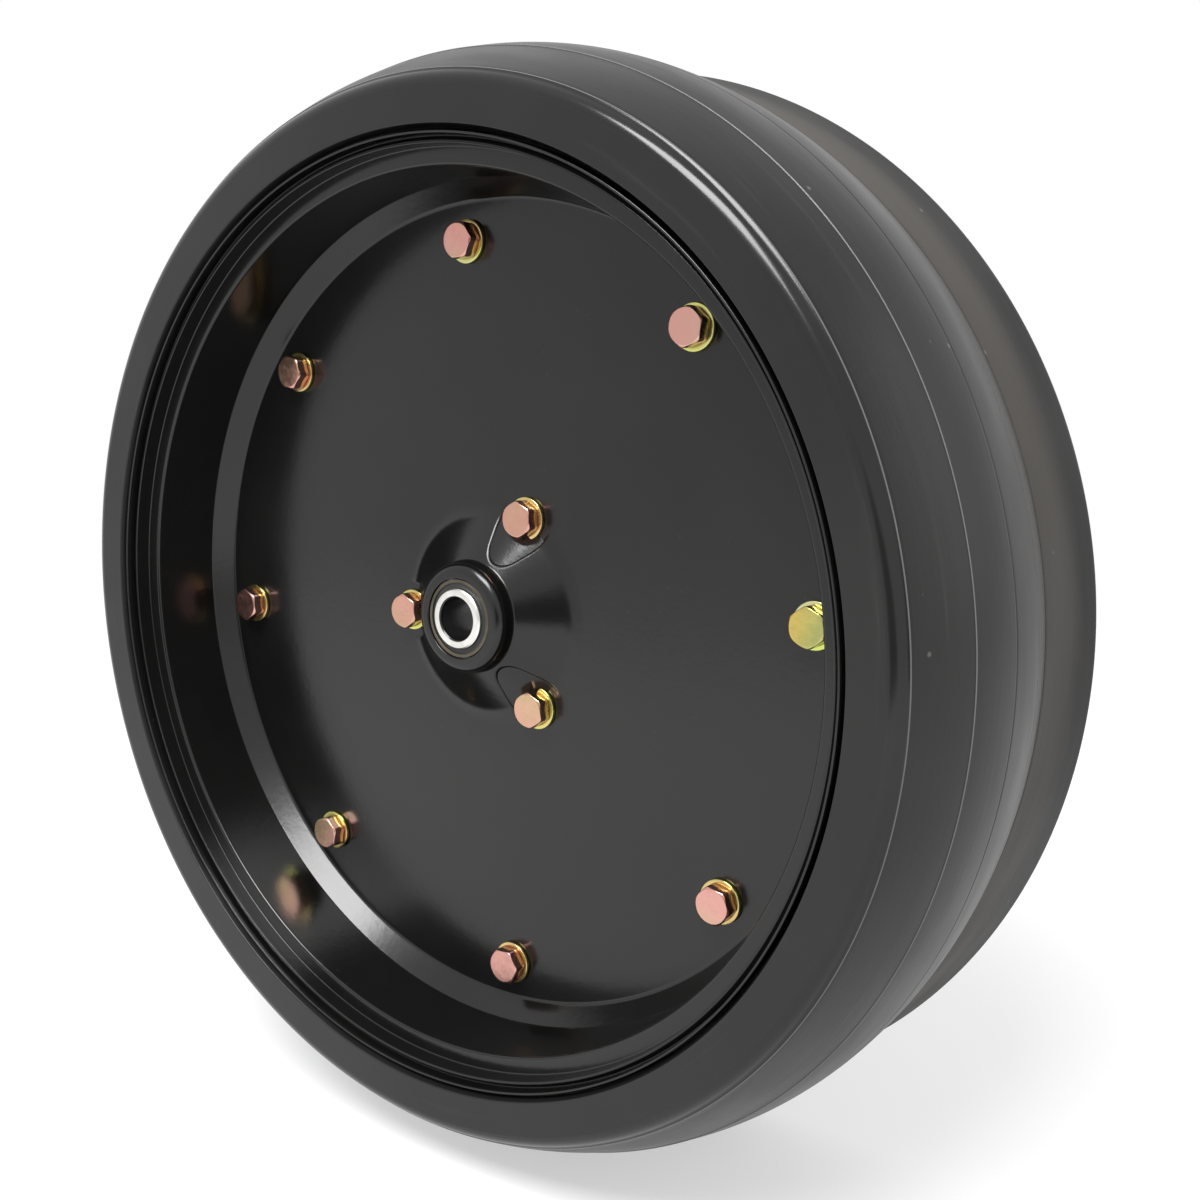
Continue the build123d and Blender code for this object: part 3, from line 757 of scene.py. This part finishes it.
def white_rays(net):
    """1 for the rays that see the plain white surroundings."""
    path = net.tree.nodes.new("ShaderNodeLightPath").outputs
    mirrored = net.math("MAXIMUM", path["Is Glossy Ray"], path["Is Transmission Ray"])
    return net.math("MAXIMUM", path["Is Camera Ray"], mirrored)


floor_mesh = bpy.data.meshes.new("floor")
wide, front_edge, back_edge, floor_z = 1.7, -0.9, 1.3, cad_low.z - 0.0005
floor_mesh.from_pydata([(-wide, front_edge, floor_z), (wide, front_edge, floor_z),
                        (wide, back_edge, floor_z), (-wide, back_edge, floor_z)],
                       [], [(0, 1, 2, 3)])
floor_mesh.materials.append(stage_material("floor", (0.5, 0.5, 0.5, 1)))
floor = bpy.data.objects.new("floor", floor_mesh)
bpy.context.scene.collection.objects.link(floor)


def lamp(name, place, target, size, size_y, power):
    """Area light at a place, turned to a target."""
    data = bpy.data.lights.new(name, "AREA")
    data.shape = "RECTANGLE"
    data.size, data.size_y = size, size_y
    data.energy = power
    light = bpy.data.objects.new(name, data)
    light.location = place
    light.rotation_euler = (Vector(target) - Vector(place)).to_track_quat("-Z", "Y").to_euler()
    bpy.context.scene.collection.objects.link(light)


lamp("key", (0.20, -1.04, 1.44), (-0.03, 0, -0.03), 1.0, 0.7, 41)
lamp("side", (1.9, 0.7, 0.9), (0, 0.05, 0), 0.5, 1.6, 4)

world = bpy.data.worlds.new("world")
bpy.context.scene.world = world
world.use_nodes = True
tree = world.node_tree
net = Net(tree)
background = tree.nodes["Background"]
background.inputs["Color"].default_value = (1, 1, 1, 1)
# mirrors see a darker patch of the room beside the camera
toward = tree.nodes.new("ShaderNodeVectorMath")
toward.operation = "DOT_PRODUCT"
net.put(toward.inputs[0], tree.nodes.new("ShaderNodeTexCoord").outputs["Generated"])
toward.inputs[1].default_value = Vector((0.40, -0.90, -0.17)).normalized()
mirrored = tree.nodes.new("ShaderNodeLightPath").outputs["Is Glossy Ray"]
shade = net.math("MULTIPLY", net.ramp(toward.outputs["Value"], 0.88, 0.985), mirrored)
level = net.ramp(white_rays(net), 0.0, 1.0, 0.75, 1.0, smooth=False)
strength = net.math("MULTIPLY", level, net.ramp(shade, 0.0, 1.0, 1.0, 0.12))
net.put(background.inputs["Strength"], strength)

bpy.context.scene.view_settings.view_transform = "Standard"
